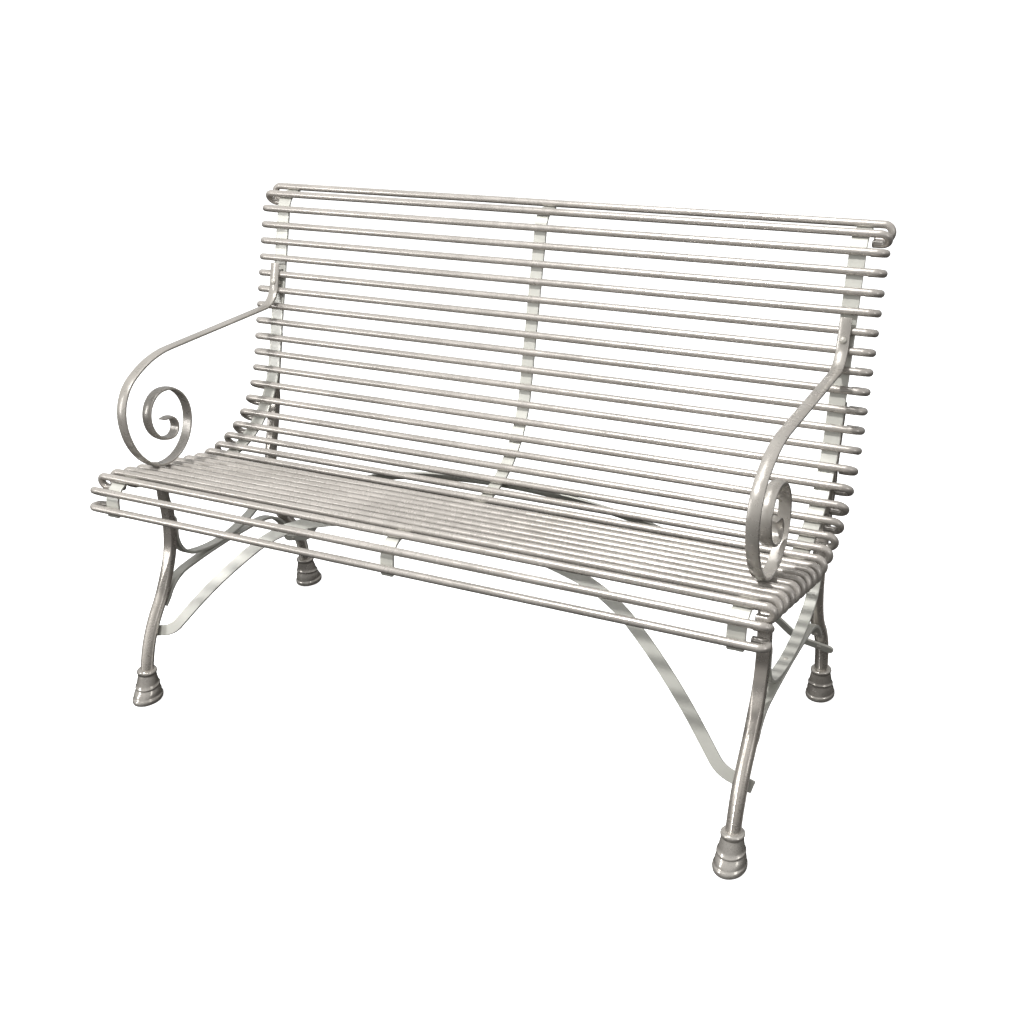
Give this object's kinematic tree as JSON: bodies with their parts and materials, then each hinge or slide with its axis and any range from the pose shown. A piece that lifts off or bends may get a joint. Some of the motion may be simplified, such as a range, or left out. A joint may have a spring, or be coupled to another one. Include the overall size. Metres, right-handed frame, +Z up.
{
  "type": "garden bench",
  "caption": "Slatted wrought-iron garden bench: round slats with hooked ends on bent flat straps, scroll arms, braced S-shaped legs and hoof feet.",
  "frame": {"origin": "on the floor under the middle of the bench's bounding box", "axes": "+Z up, +X along the width to the sitter's left, front towards -Y"},
  "size_m": [1.24, 0.6509, 0.856],
  "materials": {
    "slat_paint": "satin light grey paint on round iron bar",
    "bar_paint": "satin light grey paint on flat iron bar",
    "leg_paint": "glossy taupe grey paint on iron",
    "hoof_paint": "glossy taupe grey paint on cast iron",
    "rivet_paint": "painted rivet and bolt heads"
  },
  "bodies": {
    "root": {"slat_01": "slat_paint", "slat_02": "slat_paint", "slat_03": "slat_paint", "slat_04": "slat_paint", "slat_05": "slat_paint", "slat_06": "slat_paint", "slat_07": "slat_paint", "slat_08": "slat_paint", "slat_09": "slat_paint", "slat_10": "slat_paint", "slat_11": "slat_paint", "slat_12": "slat_paint", "slat_13": "slat_paint", "slat_14": "slat_paint", "slat_15": "slat_paint", "slat_16": "slat_paint", "slat_17": "slat_paint", "slat_18": "slat_paint", "slat_19": "slat_paint", "slat_20": "slat_paint", "slat_21": "slat_paint", "slat_22": "slat_paint", "slat_23": "slat_paint", "slat_24": "slat_paint", "slat_25": "slat_paint", "slat_26": "slat_paint", "slat_27": "slat_paint", "slat_28": "slat_paint", "slat_29": "slat_paint", "slat_30": "slat_paint", "slat_31": "slat_paint", "strap_left": "bar_paint", "strap_right": "bar_paint", "front_leg_left": "leg_paint", "front_leg_right": "leg_paint", "rear_leg_left": "leg_paint", "rear_leg_right": "leg_paint", "front_hoof_left": "hoof_paint", "front_hoof_right": "hoof_paint", "rear_hoof_left": "hoof_paint", "rear_hoof_right": "hoof_paint", "arm_left": "bar_paint", "arm_right": "bar_paint", "sag_brace_left": "bar_paint", "sag_brace_right": "bar_paint", "arch_brace_left": "bar_paint", "arch_brace_right": "bar_paint", "strap_middle": "bar_paint", "front_cross_brace": "bar_paint", "rear_cross_brace": "bar_paint", "strap_rivets": "rivet_paint", "leg_rivets": "rivet_paint", "brace_rivets": "rivet_paint", "cross_rivets": "rivet_paint", "arm_rivets": "rivet_paint", "arm_bolts": "rivet_paint", "arm_spacers": "rivet_paint", "arm_nuts": "rivet_paint"}
  },
  "joints": []
}
